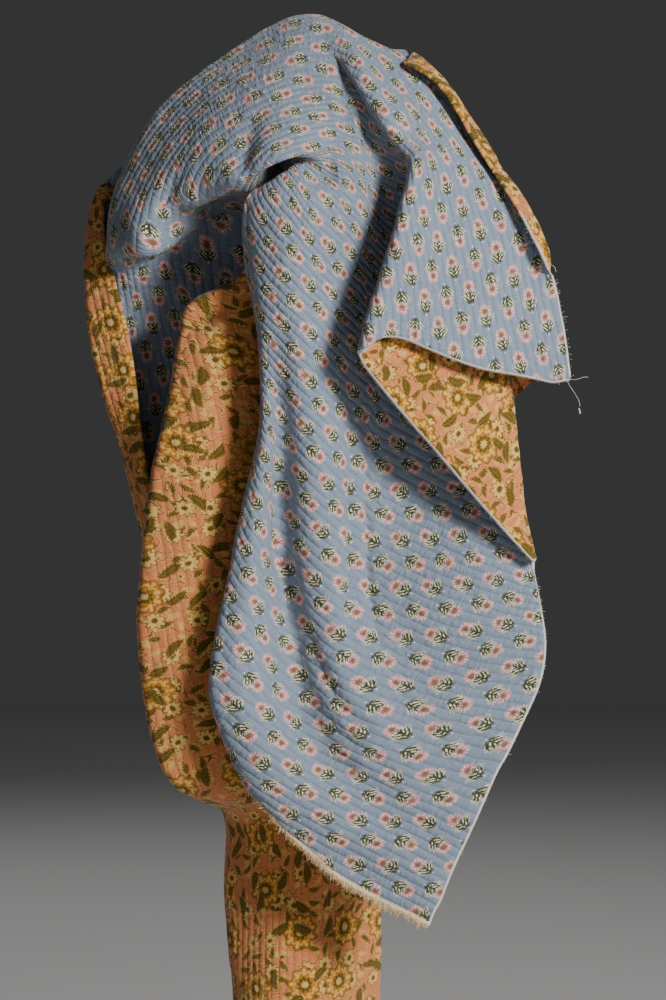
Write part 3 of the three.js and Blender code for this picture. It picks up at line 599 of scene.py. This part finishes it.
class Pattern:
    """A material being built: its colour so far, and where it is in millimetres of flat cloth."""

    def __init__(self, name, ground):
        self.material = bpy.data.materials.new(name)
        self.material.use_nodes = True
        self.tree = self.material.node_tree
        self.shader = self.tree.nodes["Principled BSDF"]
        self.colour = ground
        place = self.split("SeparateXYZ", self.node("UVMap", {}, uv_map="cloth").outputs[0])
        self.across, self.along = place[0] * (1 / MM), place[1] * (1 / MM)

    def node(self, kind, inputs, **settings):
        node = self.tree.nodes.new("ShaderNode" + kind)
        for name, value in settings.items():
            setattr(node, name, value)
        self.feed(node, inputs)
        return node

    def feed(self, node, inputs):
        """Joins a node's inputs to wires or sockets, or gives them plain values."""
        for slot, value in inputs.items():
            if isinstance(value, Wire):
                value = value.socket
            if isinstance(value, bpy.types.NodeSocket):
                self.tree.links.new(value, node.inputs[slot])
            else:
                node.inputs[slot].default_value = value

    def split(self, kind, socket):
        """The numbers that a vector or a colour is made of."""
        return [Wire(self, part) for part in self.node(kind, {0: socket}).outputs]

    def vector(self, x, y, z=0.0):
        return self.node("CombineXYZ", {0: x, 1: y, 2: z}).outputs[0]

    def attribute(self, name):
        return Wire(self, self.node("Attribute", {}, attribute_name=name).outputs["Fac"])

    def noise(self, x, y, size, seed, detail=2.0):
        """Soft noise from about 0 to 1, with lumps of the size given in millimetres."""
        place = self.vector(x, y, seed * size)
        node = self.node("TexNoise", {"Scale": 1.0 / size, "Detail": detail, "Vector": place})
        return Wire(self, node.outputs["Fac"])

    def lumps(self, size, seed, detail=2.0):
        """The same noise as it lies on the flat cloth."""
        return self.noise(self.across, self.along, size, seed, detail)

    def scatter(self, size, evenness, seed):
        """Cells with one motif each: the place in the cell from its centre, and two random numbers."""
        x, y = self.across + seed * size, self.along - seed * size
        node = self.node(
            "TexVoronoi",
            {"Scale": 1.0 / size, "Randomness": 1.0 - evenness, "Vector": self.vector(x, y)},
            voronoi_dimensions="2D",
        )
        middle = self.split("SeparateXYZ", node.outputs["Position"])
        chance = self.split("SeparateColor", node.outputs["Color"])
        return x - middle[0], y - middle[1], chance[0], chance[1]

    def ink(self, colour, cover):
        """Prints a colour over what is there, where cover is 1."""
        mix = self.node("Mix", {0: cover, 6: self.colour, 7: colour}, data_type="RGBA")
        self.colour = mix.outputs[2]

    def relief(self, height, depth):
        bump = self.node("Bump", {"Strength": 1.0, "Distance": depth, "Height": height})
        self.feed(self.shader, {"Normal": bump.outputs[0]})


def rgb(red, green, blue):
    """A printed colour given as it looks on a screen, 0 to 255."""
    return tuple(((c / 255 + 0.055) / 1.055) ** 2.4 if c > 10 else c / 3294.6
                 for c in (red, green, blue)) + (1.0,)


QUILT_PITCH = 6.4  # between two stitched lines
QUILT_DEPTH = 1.05 * MM
PEACH_DEPTH_SHARE = 0.7  # the peach side is drawn flatter by the same stitches
QUILT_WANDER = 1.6  # how far a stitched line strays, over WANDER_SIZE
WANDER_SIZE = 40.0
RIDGE_POWER = 0.7  # under 1, so that the ridges are full and the stitched grooves narrow
PUCKER_SIZE = 4.0
WEAVE_SIZE = 2.2
YARN_ACROSS = 4.0  # a yarn is this much finer than WEAVE_SIZE across its run
YARN_ALONG = 0.35
FADING_SIZE = 70.0


def quilted(p, depth):
    """The relief and shading of machine quilting, the same for both sides of the cloth."""
    x, y = p.across, p.along
    wander = p.lumps(WANDER_SIZE, seed=3.0) * QUILT_WANDER
    turn = (x + wander) * (math.pi / QUILT_PITCH)
    ridge = turn.work("SINE").work("ABSOLUTE").work("POWER", RIDGE_POWER)
    pucker = p.noise(x * 0.5, y * 1.2, PUCKER_SIZE, seed=7.0, detail=3.0)
    warp = p.noise(x * YARN_ACROSS, y * YARN_ALONG, WEAVE_SIZE, seed=1.0, detail=3.0)
    weft = p.noise(x * YARN_ALONG, y * YARN_ACROSS, WEAVE_SIZE, seed=2.0, detail=3.0)
    weave = warp + weft
    p.relief(ridge * (pucker * 1.3 + 0.15) + pucker * 0.8 + weave * 0.08, depth)
    fading = p.lumps(FADING_SIZE, seed=5.0)
    # painted shade: the ridge term darkens the colour in the stitched grooves; the weave term is the
    # yarns' grain and the fading term a tone that differs at random
    light = ridge * 0.08 + weave * 0.3 + fading * 0.2 + 0.54
    shaded = p.node("VectorMath", {0: p.colour, "Scale": light}, operation="SCALE")
    p.feed(p.shader, {
        "Base Color": shaded.outputs[0], "Roughness": 0.92, "Specular IOR Level": 0.25,
        "Sheen Weight": 0.25, "Sheen Roughness": 0.5,
    })


# The blue side: sprigs in rows, every other one upside down. Millimetres.
SPRIG_ACROSS = 20.8
SPRIG_ALONG = 21.6
DRIFT_SIZE = 9.0
DRIFT = 1.6  # how far the sprigs stray from their rows
WOBBLE_SIZE = 2.4
WOBBLE = 2.6  # how far the outline of a sprig strays
BLOOM_AT = 3.6
BLOOM_WIDE = 4.8
BLOOM_LONG = 5.0
BLOOM_DASHES = 11
LEAF_AT = -4.3
LEAF_WIDE = 5.9
LEAF_LONG = 4.7
LEAF_PITCH = 3.1  # between two leaves along the stem
DOT_UNDER = 1.4  # from the foot of the leaves to the dot

BLUE = rgb(131, 144, 160)
PINK = rgb(208, 122, 132)
DEEP_ROSE = rgb(176, 100, 104)
CREAM = rgb(240, 228, 206)
BROWN_OLIVE = rgb(124, 100, 56)
DARK_OLIVE = rgb(58, 62, 30)
PALE_LEAF = rgb(238, 230, 198)

WEAR_REACH = 10.0  # the attribute "wear" counts down from this at the frayed edge, in millimetres
FRAY_BAND = 3.0  # how far the blue cotton is worn away beside the frayed edge
RAVEL = 3.0  # how unevenly
RAVEL_SIZE = 2.4
FUZZ_SIZE = 0.9
FRAY_SHADE = rgb(206, 170, 120)
FRAY_CREAM = rgb(246, 220, 174)


def fuzz_of(p):
    return p.lumps(FUZZ_SIZE, seed=51.0, detail=3.0)


def sprig_print():
    p = Pattern("sprig_print", BLUE)
    x = p.across + p.lumps(DRIFT_SIZE, seed=11.0) * DRIFT
    y = p.along + p.lumps(DRIFT_SIZE, seed=12.0) * DRIFT
    row = (y / SPRIG_ALONG).work("FLOOR")
    y = y - row.times_plus(SPRIG_ALONG, SPRIG_ALONG / 2)
    x = x + row * (SPRIG_ACROSS / 2)
    column = (x / SPRIG_ACROSS).work("FLOOR")
    x = x - column.times_plus(SPRIG_ACROSS, SPRIG_ACROSS / 2)
    flip = column.work("FLOORED_MODULO", 2.0).times_plus(-2.0, 1.0)
    x = x * flip + p.lumps(WOBBLE_SIZE, seed=13.0) * WOBBLE - WOBBLE / 2
    y = y * flip + p.lumps(WOBBLE_SIZE, seed=14.0) * WOBBLE - WOBBLE / 2

    leaf_y = y - LEAF_AT
    lean = x.work("ABSOLUTE")
    leaf = ((leaf_y - lean * 1.1) * (math.tau / LEAF_PITCH)).work("COSINE")
    cluster = length_of(x / LEAF_WIDE, (leaf_y - lean * 0.25) / LEAF_LONG) - leaf * 0.16
    streak = p.noise(x, y, 1.6, seed=16.0, detail=1.0)
    pale = (leaf.over(0.3, 0.5) * cluster.under(0.9, 0.1) * lean.over(0.6, 0.5)
            * leaf_y.over(-2.6, 2.0) * streak.over(0.41, 0.12))
    outline = cluster.under(1.14, 0.12) * leaf_y.over(-1.5, 2.0)

    bloom_y = y - BLOOM_AT
    bloom = length_of(x / BLOOM_WIDE, bloom_y / BLOOM_LONG)
    dash = (bloom_y.work("ARCTAN2", x) * BLOOM_DASHES).work("COSINE")
    rim = bloom - dash * 0.07
    petal = rim.under(0.88, 0.1) * rim.over(0.3, 0.1)
    speck = p.noise(x, y, 0.9, seed=17.0, detail=1.0)
    dot = length_of(x, y - (LEAF_AT - LEAF_LONG - DOT_UNDER))

    p.ink(CREAM, rim.under(1.07, 0.1) * 0.5)
    p.ink(PINK, rim.under(0.99, 0.1))
    p.ink(CREAM, petal * (dash + speck * 4.0).over(2.0, 1.0) * 0.8)
    p.ink(DEEP_ROSE, (bloom + speck * 0.6).under(0.9, 0.1) * speck.over(0.45, 0.1))
    p.ink(BROWN_OLIVE, (bloom + dash * 0.05 + speck * 0.6).under(0.64, 0.14))
    p.ink(CREAM, outline * 0.8)
    p.ink(DARK_OLIVE, cluster.under(1.0, 0.12))
    p.ink(PALE_LEAF, pale)
    p.ink(CREAM, dot.under(0.7, 0.4))
    p.ink(BLUE, p.lumps(1.1, seed=21.0).over(0.62, 0.2) * 0.35)
    ragged = p.attribute("wear") - p.lumps(RAVEL_SIZE, seed=23.0) * RAVEL
    frayed = ragged.over(WEAR_REACH - FRAY_BAND - RAVEL / 2, 1.0)
    p.ink(FRAY_SHADE, frayed)
    p.ink(FRAY_CREAM, frayed * fuzz_of(p).over(0.45, 0.2))
    quilted(p, QUILT_DEPTH)
    return p.material


# The peach side: big mustard blossoms, cream daisies and olive leaves scattered over the ground.
PEACH = rgb(214, 130, 80)
MUSTARD = rgb(178, 114, 16)
PALE_CREAM = rgb(224, 178, 96)
OLIVE = rgb(88, 76, 10)
LEAF_TEETH = 2.1  # between two teeth of a leaf
BLOSSOM_PETALS = 9.0
DAISY_PETALS = 9.0
SWAY_SIZE = 14.0
SWAY = 5.0  # how far the motifs are drawn out of their true shape


def leaves(p, size, seed, ink, bare):
    """A leaf in each cell but for a share left bare, turned every way, with a toothed edge and a
    pale rim on one side."""
    x, y, chance, other = p.scatter(size, 0.25, seed)
    turn = chance * math.tau
    c, s = turn.work("COSINE"), turn.work("SINE")
    along = x * c + y * s
    aside = y * c - x * s + along * along * (0.5 / size)
    long = size * 0.47
    taper = (along * along).times_plus(-1.0 / long**2, 1.0)
    teeth = ((along - aside.work("ABSOLUTE")) * (math.tau / LEAF_TEETH)).work("SINE") * 0.75
    width = taper * (size * 0.17) + teeth
    there = taper.over(0.08, 0.05) * other.over(bare, 0.01)
    leaf = (aside.work("ABSOLUTE") - width).under(0.0, 0.4)
    p.ink(PALE_CREAM, ((aside + 0.5).work("ABSOLUTE") - width).under(0.55, 0.3) * there * 0.75)
    p.ink(ink, leaf * there)
    p.ink(MUSTARD, aside.work("ABSOLUTE").under(0.16, 0.15) * leaf * there * 0.7)


def daisies(p, size, seed):
    """Cream daisies with an olive eye."""
    x, y, chance, other = p.scatter(size, 0.45, seed)
    away = length_of(x, y) / (size * 0.26)
    wave = ((y.work("ARCTAN2", x) + chance * 3.0) * DAISY_PETALS).work("COSINE")
    edge = away - wave * 0.17
    there = other.over(0.2, 0.01)
    p.ink(OLIVE, edge.under(1.04, 0.06) * there * 0.85)
    p.ink(PALE_CREAM, edge.under(0.9, 0.08) * there)
    p.ink(OLIVE, (away + wave * 0.05).under(0.34, 0.1) * there)


def blossoms(p, size, seed):
    """Large blossoms of overlapping rows of petals."""
    x, y, chance, other = p.scatter(size, 0.6, seed)
    away = length_of(x, y) / (size * 0.34)
    wave = ((y.work("ARCTAN2", x) + chance * 3.0) * BLOSSOM_PETALS).work("COSINE")
    there = other.over(0.4, 0.01)
    edge = away - wave * 0.1
    inner = away + wave * 0.08
    p.ink(OLIVE, edge.under(1.03, 0.05) * there * 0.8)
    p.ink(MUSTARD, edge.under(0.95, 0.06) * there)
    p.ink(PALE_CREAM, inner.over(0.6, 0.05) * inner.under(0.7, 0.05) * there)
    p.ink(PALE_CREAM, wave.over(0.55, 0.3) * inner.over(0.72, 0.05) * edge.under(0.85, 0.08) * there)
    p.ink(OLIVE, (away - wave * 0.06).under(0.42, 0.06) * there)
    p.ink(PALE_CREAM, (away + wave * 0.04).under(0.2, 0.08) * there)


def garden_print():
    p = Pattern("garden_print", PEACH)
    straight = p.across, p.along
    p.across, p.along = (p.across + p.lumps(SWAY_SIZE, seed=31.0) * SWAY,
                         p.along + p.lumps(SWAY_SIZE, seed=32.0) * SWAY)
    vine = (p.lumps(22.0, seed=33.0, detail=1.0) * 11.0).work("FRACT")
    p.ink(PALE_CREAM, vine.over(0.78, 0.08) * 0.7)
    p.ink(OLIVE, vine.over(0.9, 0.05))
    leaves(p, size=9.5, seed=1.7, ink=PALE_CREAM, bare=0.6)
    leaves(p, size=13.0, seed=4.3, ink=OLIVE, bare=0.15)
    daisies(p, size=25.0, seed=2.6)
    blossoms(p, size=41.0, seed=3.4)
    leaves(p, size=21.0, seed=8.9, ink=OLIVE, bare=0.3)
    p.across, p.along = straight
    p.ink(PEACH, p.lumps(1.2, seed=41.0).over(0.6, 0.2) * 0.3)
    quilted(p, QUILT_DEPTH * PEACH_DEPTH_SHARE)
    return p.material


CUT_EDGE_RELIEF = 0.6 * MM


def cut_edge_cotton(name, dark, light):
    p = Pattern(name, dark)
    fuzz = fuzz_of(p)
    p.ink(light, fuzz)
    p.relief(fuzz, CUT_EDGE_RELIEF)
    p.feed(p.shader, {"Base Color": p.colour, "Roughness": 1.0, "Sheen Weight": 0.4})
    return p.material


def plain_material(name, colour, roughness=1.0):
    material = bpy.data.materials.new(name)
    material.use_nodes = True
    shader = material.node_tree.nodes["Principled BSDF"]
    shader.inputs["Base Color"].default_value = colour
    shader.inputs["Roughness"].default_value = roughness
    return material


def make_mesh(name, points, faces, slots, places=None, smooth=True):
    """A mesh from lists, with a material slot for each face. Places gives each point its place on
    the flat cloth."""
    mesh = bpy.data.meshes.new(name)
    mesh.from_pydata(points, [], faces)
    mesh.polygons.foreach_set("material_index", slots)
    mesh.polygons.foreach_set("use_smooth", [smooth] * len(faces))
    if places is not None:
        corners = [k for face in faces for k in face]
        mesh.uv_layers.new(name="cloth").data.foreach_set("uv", np.array(places)[corners].ravel())
    mesh.update()
    return mesh


def add_piece(name, mesh, materials):
    piece = bpy.data.objects.new(name, mesh)
    bpy.context.scene.collection.objects.link(piece)
    for material in materials:
        mesh.materials.append(material)
    return piece


RIM_ROUND = 1.8 * MM  # how far the wadding bulges out of a cut edge
RIGHT_EDGE_END = 4.6  # above this station the right edge is turned in
FRAY_END = 3.5  # above this station the frayed edge is turned in
BLUE_SIDE, PEACH_SIDE, CUT_EDGE, FRAYED_EDGE = range(4)  # the sheet's materials, in their order


def rim_slot(station, column, last_column, on_hem):
    """Which material a bit of the cut edge has."""
    if column == 0 and station > RIGHT_EDGE_END or column == last_column and station > FRAY_END:
        return PEACH_SIDE
    return FRAYED_EDGE if column == last_column and not on_hem else CUT_EDGE


def closed_sheet(stations, grid, half, laid):
    """The closed sheet: peach face, blue face and a bulging cut edge all round."""
    rows, columns = grid.shape[:2]
    out = square_to(grid) * half[..., None]
    around = (
        [(0, j) for j in range(columns - 1)]
        + [(i, columns - 1) for i in range(rows - 1)]
        + [(rows - 1, j) for j in range(columns - 1, 0, -1)]
        + [(i, 0) for i in range(rows - 1, 0, -1)]
    )
    rim = []
    for i, j in around:
        inside = grid[min(max(i, 1), rows - 2), min(max(j, 1), columns - 2)]
        rim.append(grid[i, j] + unit(grid[i, j] - inside) * RIM_ROUND)
    points = np.concatenate([(grid + out).reshape(-1, 3), (grid - out).reshape(-1, 3), np.array(rim)])
    flat = laid.reshape(-1, 2)
    places = np.concatenate([flat, flat, np.array([laid[i, j] for i, j in around])])
    (a, b, c, d), index = grid_corners(rows, columns)
    other_side = rows * columns
    peach_faces = np.stack([a, b, c, d], 1)
    blue_faces = np.stack([a, d, c, b], 1) + other_side
    edge_faces, edge_slots = [], []
    for k, (i, j) in enumerate(around):
        following = (k + 1) % len(around)
        p, q = index[i, j], index[around[following]]
        r, s = 2 * other_side + k, 2 * other_side + following
        edge_faces += [(q, p, r, s), (s, r, p + other_side, q + other_side)]
        edge_slots += [rim_slot(stations[i], j, columns - 1, i == 0)] * 2
    faces = np.vstack([peach_faces, blue_faces, np.array(edge_faces)])
    slots = [PEACH_SIDE] * len(a) + [BLUE_SIDE] * len(a) + edge_slots
    mesh = make_mesh("quilted_cloth_sheet", points.tolist(), faces.tolist(), slots, places)
    gap = np.linalg.norm(laid - laid[:, -1:], axis=2) / MM
    wear = (np.maximum(WEAR_REACH - gap, 0.0) * (stations <= FRAY_END)[:, None]).ravel()
    wear = np.concatenate([wear, wear, np.zeros(len(rim))])
    mesh.attributes.new("wear", "FLOAT", "POINT").data.foreach_set("value", wear)
    return mesh


stations, grid = middle_layer()
grid = trimmed(stations, grid)
laid = lay_print(stations, grid)
grid = crumpled(stations, grid, laid)
sheet = add_piece(
    "cloth_sheet",
    closed_sheet(stations, grid, half_thickness(grid), laid),
    [sprig_print(), garden_print(),
     cut_edge_cotton("cut_edge", rgb(214, 204, 196), rgb(236, 228, 214)),
     cut_edge_cotton("frayed_edge", FRAY_SHADE, FRAY_CREAM)],
)

THREAD_SIDES = 3
NO_THREADS_WAY = unit(np.array([0.31, 0.52, 0.79]))  # a direction in which no thread runs
PALE_THREAD, CREAM_THREAD = range(2)  # the threads' materials, in their order


class Strands:
    """Many fine threads joined in one mesh, each a three-sided tube."""

    def __init__(self):
        self.points, self.faces, self.slots = [], [], []

    def add(self, line, thick, slot):
        line = np.array(line)
        ahead = unit(np.gradient(line, axis=0))
        aside = unit(np.cross(ahead, NO_THREADS_WAY))
        square = np.cross(ahead, aside)
        first = len(self.points)
        for k, point in enumerate(line):
            for corner in range(THREAD_SIDES):
                angle = corner * math.tau / THREAD_SIDES
                spoke = math.cos(angle) * aside[k] + math.sin(angle) * square[k]
                self.points.append((point + spoke * thick / 2).tolist())
        for k in range(len(line) - 1):
            for corner in range(THREAD_SIDES):
                p = first + THREAD_SIDES * k + corner
                q = first + THREAD_SIDES * k + (corner + 1) % THREAD_SIDES
                self.faces.append((p, q, q + THREAD_SIDES, p + THREAD_SIDES))
                self.slots.append(slot)
        last = len(self.points) - THREAD_SIDES
        self.faces += [(first + 2, first + 1, first), (last, last + 1, last + 2)]
        self.slots += [slot, slot]


# Short fibres along the cut edges: how many to a centimetre, their lengths and thickness, and how
# many points of the grid lie between the edge and the points that show the way out.
FRAYS = [
    dict(edge="hem", inside=3, a_cm=14, short=0.7, long=2.0, thick=0.30, slot=PALE_THREAD),
    dict(edge="right", inside=2, a_cm=13, short=0.6, long=4.0, thick=0.20, slot=PALE_THREAD),
    dict(edge="frayed", inside=3, a_cm=85, short=1.6, long=4.8, thick=0.45, slot=CREAM_THREAD),
]
FRAY_STEPS = 4
FRAY_STRAY = 0.45  # how far the fibres turn from the way out
FRAY_SPREAD = 0.2  # how far their roots are spread, as a share of the thickness
FRAY_CURL = 0.35
FRAY_SEED = 11


def edge_of(kind):
    """An edge's points and the points a little inside it."""
    inside = kind["inside"]
    if kind["edge"] == "hem":
        return grid[0], grid[inside]
    if kind["edge"] == "right":
        rows = stations < RIGHT_EDGE_END
        return grid[rows, 0], grid[rows, inside]
    rows = stations < FRAY_END
    return grid[rows, -1], grid[rows, -1 - inside]


def fray(strands, kind, chance):
    edge, inside = edge_of(kind)
    reached = distances(edge)
    outward = unit(edge - inside)
    for _ in range(int(reached[-1] / CM * kind["a_cm"])):
        at = chance.uniform(0, reached[-1])
        root = between(at, reached, edge)
        out = unit(between(at, reached, outward))
        stray, curl = (np.array([chance.gauss(0, 1) for _ in range(3)]) for _ in range(2))
        way = unit(out + stray * FRAY_STRAY)
        root = root + stray * THICKNESS * FRAY_SPREAD
        long = kind["short"] + (kind["long"] - kind["short"]) * chance.random() ** 2
        steps = np.linspace(0, 1, FRAY_STEPS)[:, None]
        line = root + (way * steps + curl * steps**2 * FRAY_CURL) * long * MM
        strands.add(line, kind["thick"] * MM, kind["slot"])


# Loose threads: where each starts, as a station on the right edge, and its points after that, each
# as right, back and up from the one before. Millimetres. A tuft isn't joined to the edge: it starts
# at its first point.
THREADS = [
    dict(name="loop", station=4.2, thick=0.5, tuft=False, moves=[
        (5, -1, 1), (4, -1, -4), (1, 0, -6), (-2, 1, -6), (-4, 1, -5), (-3, 0, -2)]),
    dict(name="corner_out", station=0, thick=0.45, tuft=False, moves=[
        (4, -1, -0.5), (4, 0, 1), (4, 0, 1.5), (3, 1, -0.5)]),
    dict(name="corner_down", station=0.1, thick=0.5, tuft=False, moves=[
        (-2, -1, -5), (3, -1, -5), (4, 0, -6), (3, 0, -5), (1, 0, -5)]),
    dict(name="corner_tuft", station=0.3, thick=1.6, tuft=True, moves=[
        (-16, 4, -3), (1, 0, -3), (0.5, 0, -3)]),
    dict(name="edge_hair", station=2.6, thick=0.4, tuft=False, moves=[
        (3, -1, 1), (3, 0, -2), (1, 0, -4)]),
    dict(name="thread_end", station=0, thick=1.5, tuft=True, moves=[
        (7.5, -1, -23), (0.6, 0, -2.5), (0.4, 0, -2)]),
]
THREAD_STEPS = 5  # to each move
THREAD_PASSES = 3


def rounded(points):
    """A smooth line through the points of a loose thread."""
    at = np.arange(len(points))
    line = between(np.linspace(0, at[-1], at[-1] * THREAD_STEPS + 1), at, points)
    for _ in range(THREAD_PASSES):
        line[1:-1] = (line[:-2] + line[1:-1] * 2 + line[2:]) / 4
    return line


def loose_threads():
    strands = Strands()
    chance = random.Random(FRAY_SEED)
    for kind in FRAYS:
        fray(strands, kind, chance)
    for thread in THREADS:
        first = grid[np.searchsorted(stations, thread["station"]), 0]
        moves = np.array(thread["moves"]) * MM
        if thread["tuft"]:
            first, moves = first + moves[0], moves[1:]
        points = np.vstack([first, first + np.cumsum(moves, axis=0)])
        strands.add(rounded(points), thread["thick"] * MM, PALE_THREAD)
    return add_piece(
        "loose_threads",
        make_mesh("loose_threads", strands.points, strands.faces, strands.slots),
        [plain_material("pale_thread", rgb(214, 204, 194)),
         plain_material("cream_thread", rgb(246, 218, 170))],
    )


# The cloth's folded-in corner, which shows under the flap: right, back and up from the hang point,
# and its place and sides on the flat cloth. Millimetres.
TIP_CORNERS = [(152, -44, -279), (190, -34, -283), (157, -26, -312)]
TIP_AT = (11, 5)
TIP_SIDES = (40, 34)
TIP_STEPS = 10
TIP_THICK = 2.4 * MM
TIP_HOLLOW = 3.0 * MM
HOLLOW_FULL = 27  # makes the product of the three shares 1 in the middle


def corner_tip():
    """A small three-cornered piece, hollowed a little, with two faces and a rim."""
    a, b, c = (np.array(corner) * MM for corner in TIP_CORNERS)
    out = unit(np.cross(b - a, c - a))
    n = TIP_STEPS
    index, points, places = {}, [], []
    for side in (1, -1):
        for i in range(n + 1):
            for j in range(n + 1 - i):
                u, v = i / n, j / n
                hollow = HOLLOW_FULL * u * v * (1 - u - v) * TIP_HOLLOW
                index[side, i, j] = len(points)
                point = a + (b - a) * u + (c - a) * v + out * (side * TIP_THICK / 2 + hollow)
                points.append(point.tolist())
                places.append([(share * side_long + start) * MM
                               for share, side_long, start in zip((u, v), TIP_SIDES, TIP_AT)])
    faces, slots = [], []
    for i in range(n):
        for j in range(n - i):
            corners = [[(i, j), (i + 1, j), (i, j + 1)]]
            if i + j < n - 1:
                corners.append([(i + 1, j), (i + 1, j + 1), (i, j + 1)])
            for corner in corners:
                faces.append([index[1, m, k] for m, k in corner])
                faces.append([index[-1, m, k] for m, k in reversed(corner)])
                slots += [0, 0]
    around = [(k, 0) for k in range(n)] + [(n - k, k) for k in range(n)]
    around += [(0, n - k) for k in range(n)]
    for here, there in zip(around, around[1:] + around[:1]):
        faces.append([index[-1, *here], index[-1, *there], index[1, *there], index[1, *here]])
        slots.append(1)
    mesh = make_mesh("corner_tip", points, faces, slots, places, smooth=False)
    materials = sheet.data.materials
    return add_piece("corner_tip", mesh, [materials[PEACH_SIDE], materials[CUT_EDGE]])


threads = loose_threads()
tip = corner_tip()
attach(sheet, "root")
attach(threads, "root")
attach(tip, "root")
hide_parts("quilted_cloth")

# The camera stands level with the middle of the photo's frame, straight in front.
VIEW_DISTANCE = 2.6
FRAME_HEIGHT = 0.8  # what the frame's height takes in at the cloth
FRAME_MIDDLE_RIGHT = 0.017
FRAME_MIDDLE_BACK = -0.040
FRAME_MIDDLE_UP = -0.390
SENSOR = 36.0

camera_data = bpy.data.cameras.new("camera")
camera_data.sensor_width = SENSOR
camera_data.lens = SENSOR * VIEW_DISTANCE / FRAME_HEIGHT
camera = bpy.data.objects.new("camera", camera_data)
camera.location = (FRAME_MIDDLE_RIGHT, FRAME_MIDDLE_BACK - VIEW_DISTANCE, FRAME_MIDDLE_UP)
camera.rotation_euler = (math.radians(90), 0, 0)
bpy.context.scene.collection.objects.link(camera)
bpy.context.scene.camera = camera

FLOOR_HALF = 6.0
FLOOR_UP = -0.93
FLOOR_COLOUR = (0.58, 0.57, 0.56, 1)
FLOOR_ROUGHNESS = 0.8

floor_corners = [(x * FLOOR_HALF, y * FLOOR_HALF, FLOOR_UP)
                 for x, y in ((-1, -1), (1, -1), (1, 1), (-1, 1))]
floor = add_piece("floor", make_mesh("floor", floor_corners, [(0, 1, 2, 3)], [0], smooth=False),
                  [plain_material("pale_floor", FLOOR_COLOUR, FLOOR_ROUGHNESS)])

# Soft round lights: place and width in metres, power in watts.
LIGHTS = [
    dict(name="key", place=(1.74, -2.1, 0.6), wide=0.7, power=106),
    dict(name="fill", place=(-1.6, -2.4, 0.2), wide=1.6, power=2),
    dict(name="rim", place=(-0.6, 2.2, 1.2), wide=1.2, power=12),
]
LIT_POINT = (0.0, 0.0, -0.4)
ROOM_COLOUR = (0.8, 0.81, 0.82, 1)
ROOM_LIGHT = 0.05

for row in LIGHTS:
    lamp = bpy.data.lights.new(row["name"], "AREA")
    lamp.shape = "DISK"
    lamp.size = row["wide"]
    lamp.energy = row["power"]
    light = bpy.data.objects.new(row["name"], lamp)
    light.location = row["place"]
    towards = Vector(LIT_POINT) - Vector(row["place"])
    light.rotation_euler = towards.to_track_quat("-Z", "Y").to_euler()
    bpy.context.scene.collection.objects.link(light)

world = bpy.data.worlds.new("room")
world.use_nodes = True
background = world.node_tree.nodes["Background"]
background.inputs["Color"].default_value = ROOM_COLOUR
background.inputs["Strength"].default_value = ROOM_LIGHT
bpy.context.scene.world = world
